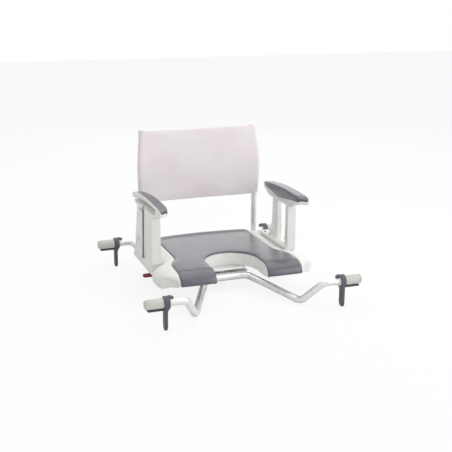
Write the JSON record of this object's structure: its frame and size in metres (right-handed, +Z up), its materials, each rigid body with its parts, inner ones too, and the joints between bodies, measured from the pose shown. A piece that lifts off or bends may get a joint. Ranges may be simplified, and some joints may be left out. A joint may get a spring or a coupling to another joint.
{
  "type": "swivel bath seat",
  "caption": "Padded seat with a horseshoe opening, fabric back and armrests, turning on a tube frame that lies across a bathtub and is held by sliding clamps.",
  "frame": {"origin": "on the seat's swivel axis, level with the lower ends of the four clamp legs, on which the part stands", "axes": "+Z up along the swivel axis, -Y the way the sitter faces, +X to the sitter's left, across the bathtub's width"},
  "size_m": [0.73, 0.692, 0.517],
  "materials": {
    "white_paint": "smooth white powder coat on tube and plate",
    "white_plastic": "warm white moulded plastic, satin",
    "slate_plastic": "dark slate grey moulded plastic",
    "slate_foam": "slate grey integral-skin foam, fine grain",
    "pale_rubber": "pale grey-green soft rubber",
    "fabric": "pale pinkish grey woven polyester",
    "steel": "plain stainless steel",
    "red_plastic": "crimson moulded plastic"
  },
  "bodies": {
    "bath_frame": {"frame_tube_front": "white_paint", "frame_tube_rear": "white_paint", "hub_plate": "white_paint", "index_plate": "steel", "bearing_lower": "white_plastic", "rim_sleeve_front_left": "pale_rubber", "rim_sleeve_front_right": "pale_rubber", "rim_sleeve_rear_left": "pale_rubber", "rim_sleeve_rear_right": "pale_rubber"},
    "clamp_body_front_left": {"clamp_front_left": "slate_plastic", "clamp_bush_front_left": "white_plastic", "clamp_pin_front_left": "steel"},
    "catch_body_front_left": {"clamp_catch_front_left": "slate_plastic"},
    "clamp_body_front_right": {"clamp_front_right": "slate_plastic", "clamp_bush_front_right": "white_plastic", "clamp_pin_front_right": "steel"},
    "catch_body_front_right": {"clamp_catch_front_right": "slate_plastic"},
    "clamp_body_rear_left": {"clamp_rear_left": "slate_plastic", "clamp_bush_rear_left": "white_plastic", "clamp_pin_rear_left": "steel"},
    "catch_body_rear_left": {"clamp_catch_rear_left": "slate_plastic"},
    "clamp_body_rear_right": {"clamp_rear_right": "slate_plastic", "clamp_bush_rear_right": "white_plastic", "clamp_pin_rear_right": "steel"},
    "catch_body_rear_right": {"clamp_catch_rear_right": "slate_plastic"},
    "seat": {"seat_shell": "white_plastic", "seat_pad": "slate_foam", "turn_plate": "white_paint", "spindle": "steel", "spindle_nut": "steel", "bearing_upper": "white_plastic", "cross_bar_front": "steel", "cross_bar_rear": "steel", "bolt_guide": "steel", "lever_pin": "steel", "back_tube_left": "white_paint", "back_tube_right": "white_paint", "back_plug_left": "white_plastic", "back_plug_right": "white_plastic", "back_cover": "fabric", "armrest_frame_left": "white_plastic", "armrest_tray_left": "white_plastic", "armrest_pad_left": "slate_foam", "screw_cap_left": "white_plastic", "arm_screw_left_1": "slate_plastic", "arm_screw_left_2": "slate_plastic", "armrest_frame_right": "white_plastic", "armrest_tray_right": "white_plastic", "armrest_pad_right": "slate_foam", "screw_cap_right": "white_plastic", "arm_screw_right_1": "slate_plastic", "arm_screw_right_2": "slate_plastic"},
    "release_lever": {"lever_arm": "steel", "lever_grip": "red_plastic"},
    "lock_bolt": {"lock_bolt": "steel"}
  },
  "joints": [
    {"name": "seat_swivel", "type": "hinge", "parent": "bath_frame", "child": "seat", "pos_m": [0, 0, 0.068], "axis": [0, 0, 1], "continuous": true},
    {"name": "lever_turn", "type": "hinge", "parent": "seat", "child": "release_lever", "pos_m": [-0.16, 0.032, 0.066], "axis": [0, 0, 1], "range_deg": [0, 16]},
    {"name": "bolt_slide", "type": "slide", "parent": "seat", "child": "lock_bolt", "axis": [1, 0, 0], "range_m": [0, 0.0085]},
    {"name": "clamp_slide_front_left", "type": "slide", "parent": "bath_frame", "child": "clamp_body_front_left", "axis": [1, 0, 0], "range_m": [0, 0.03]},
    {"name": "catch_lift_front_left", "type": "hinge", "parent": "clamp_body_front_left", "child": "catch_body_front_left", "pos_m": [-0.284, -0.325, 0.1062], "axis": [0, -1, 0], "range_deg": [0, 25], "stiffness_Nm_per_rad": 0.02},
    {"name": "clamp_slide_front_right", "type": "slide", "parent": "bath_frame", "child": "clamp_body_front_right", "axis": [-1, 0, 0], "range_m": [0, 0.03]},
    {"name": "catch_lift_front_right", "type": "hinge", "parent": "clamp_body_front_right", "child": "catch_body_front_right", "pos_m": [0.284, -0.325, 0.1062], "axis": [0, 1, 0], "range_deg": [0, 25], "stiffness_Nm_per_rad": 0.02},
    {"name": "clamp_slide_rear_left", "type": "slide", "parent": "bath_frame", "child": "clamp_body_rear_left", "axis": [1, 0, 0], "range_m": [0, 0.03]},
    {"name": "catch_lift_rear_left", "type": "hinge", "parent": "clamp_body_rear_left", "child": "catch_body_rear_left", "pos_m": [-0.284, 0.325, 0.1062], "axis": [0, -1, 0], "range_deg": [0, 25], "stiffness_Nm_per_rad": 0.02},
    {"name": "clamp_slide_rear_right", "type": "slide", "parent": "bath_frame", "child": "clamp_body_rear_right", "axis": [-1, 0, 0], "range_m": [0, 0.03]},
    {"name": "catch_lift_rear_right", "type": "hinge", "parent": "clamp_body_rear_right", "child": "catch_body_rear_right", "pos_m": [0.284, 0.325, 0.1062], "axis": [0, 1, 0], "range_deg": [0, 25], "stiffness_Nm_per_rad": 0.02}
  ],
  "couplings": [
    {"joint": "bolt_slide", "follows": "lever_turn", "m_per_rad": 0.0296}
  ]
}
